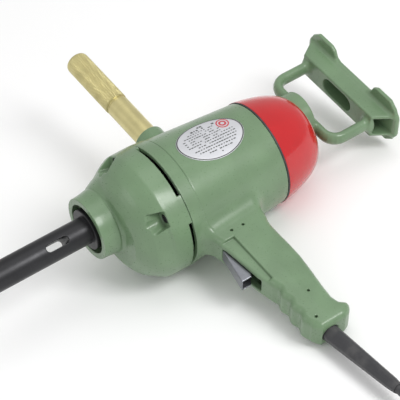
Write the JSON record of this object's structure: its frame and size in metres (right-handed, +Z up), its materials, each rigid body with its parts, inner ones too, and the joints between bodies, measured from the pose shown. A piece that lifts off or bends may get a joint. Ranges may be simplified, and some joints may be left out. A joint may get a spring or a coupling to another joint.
{
  "type": "handheld electric power drive",
  "caption": "Heavy electric drive unit for masonry and concrete work with taper spindle, pistol grip, side bar, rear spade handle and coiled lead.",
  "frame": {"origin": "centre of the resting tool's box on the floor it lies on, without its lead", "axes": "+X from the spindle nose to the spade handle, +Y towards the side bar, +Z up from the floor; the tool lies on its flange rim, rear cover and grip end"},
  "size_m": [0.5027, 0.751, 0.1459],
  "materials": {
    "green_enamel": "satin hammered enamel",
    "red_cover": "high gloss",
    "black_spindle": "satin black oxide",
    "zinc_bar": "yellow zinc plate",
    "label": "printed foil",
    "black_rubber": "matt",
    "steel": "ground steel",
    "dark_screws": "black oxide",
    "bright_screws": "zinc plate",
    "cast_alloy": "as cast",
    "bronze": "sintered",
    "brass": "bright",
    "copper": "enamelled wire",
    "lamination": "stacked sheet",
    "black_plastic": "moulded",
    "white_plastic": "moulded",
    "carbon": "graphite",
    "pressed_steel": "pressed sheet"
  },
  "bodies": {
    "casing": {"gear_housing": "green_enamel", "gear_housing_screws": "dark_screws", "gear_plate": "cast_alloy", "gear_plate_screws": "bright_screws", "oil_seal": "black_rubber", "spindle_front_bearing": "steel", "spindle_rear_bush": "bronze", "layshaft_front_bush": "bronze", "layshaft_rear_bush": "bronze", "motor_housing": "green_enamel", "stator_core": "lamination", "field_coils": "copper", "air_baffle": "black_plastic", "armature_front_bearing": "steel", "armature_rear_bearing": "steel", "rear_gasket": "black_rubber", "rear_bracket": "cast_alloy", "rear_bracket_screws": "bright_screws", "brush_holders": "brass", "carbon_brushes": "carbon", "brush_springs": "bright_screws", "rear_cover": "red_cover", "spade_handle": "green_enamel", "spade_handle_screws": "dark_screws", "side_handle": "zinc_bar", "rating_plate": "label", "grip_cover": "green_enamel", "grip_cover_screws": "bright_screws", "trigger_pin": "bright_screws", "trigger_spring": "bright_screws", "switch_body": "black_plastic", "capacitor": "white_plastic", "terminal_block": "white_plastic", "cord_clamp": "black_plastic", "cord_clamp_screws": "bright_screws", "cord_guard": "black_rubber", "power_cord": "black_rubber", "cord_coil": "black_rubber", "cord_tie": "black_plastic", "plug_body": "black_plastic", "plug_pins": "brass"},
    "spindle_set": {"spindle": "black_spindle", "spindle_gear": "steel", "spindle_key": "steel", "spindle_circlip": "steel"},
    "layshaft_set": {"layshaft": "steel", "intermediate_gear": "steel"},
    "armature_set": {"armature_shaft": "steel", "armature_core": "lamination", "armature_windings": "copper", "commutator": "copper", "cooling_fan": "black_plastic"},
    "trigger_lever": {"trigger": "pressed_steel"},
    "switch_button": {"switch_plunger": "white_plastic"}
  },
  "joints": [
    {"name": "spindle_spin", "type": "hinge", "parent": "casing", "child": "spindle_set", "pos_m": [-0.11835, 0.0202, 0.08227], "axis": [0.9968, 0, -0.0794], "continuous": true},
    {"name": "layshaft_spin", "type": "hinge", "parent": "casing", "child": "layshaft_set", "pos_m": [-0.06104, -0.01706, 0.09393], "axis": [0.9968, 0, -0.0794], "continuous": true},
    {"name": "armature_spin", "type": "hinge", "parent": "casing", "child": "armature_set", "pos_m": [-0.0377, 0.0026, 0.07207], "axis": [0.9968, 0, -0.0794], "continuous": true},
    {"name": "trigger_pull", "type": "hinge", "parent": "casing", "child": "trigger_lever", "pos_m": [-0.01644, -0.09569, 0.04934], "axis": [0.0777, -0.2086, 0.9749], "range_deg": [0, 12], "stiffness_Nm_per_rad": 0.8, "springref_deg": -8.59},
    {"name": "switch_press", "type": "slide", "parent": "casing", "child": "switch_button", "axis": [0.9968, 0, -0.0794], "range_m": [0, 0.00425]}
  ],
  "couplings": [
    {"joint": "layshaft_spin", "follows": "spindle_spin", "ratio": -4},
    {"joint": "armature_spin", "follows": "spindle_spin", "ratio": 16.364},
    {"joint": "switch_press", "follows": "trigger_pull", "m_per_rad": 0.020277}
  ]
}
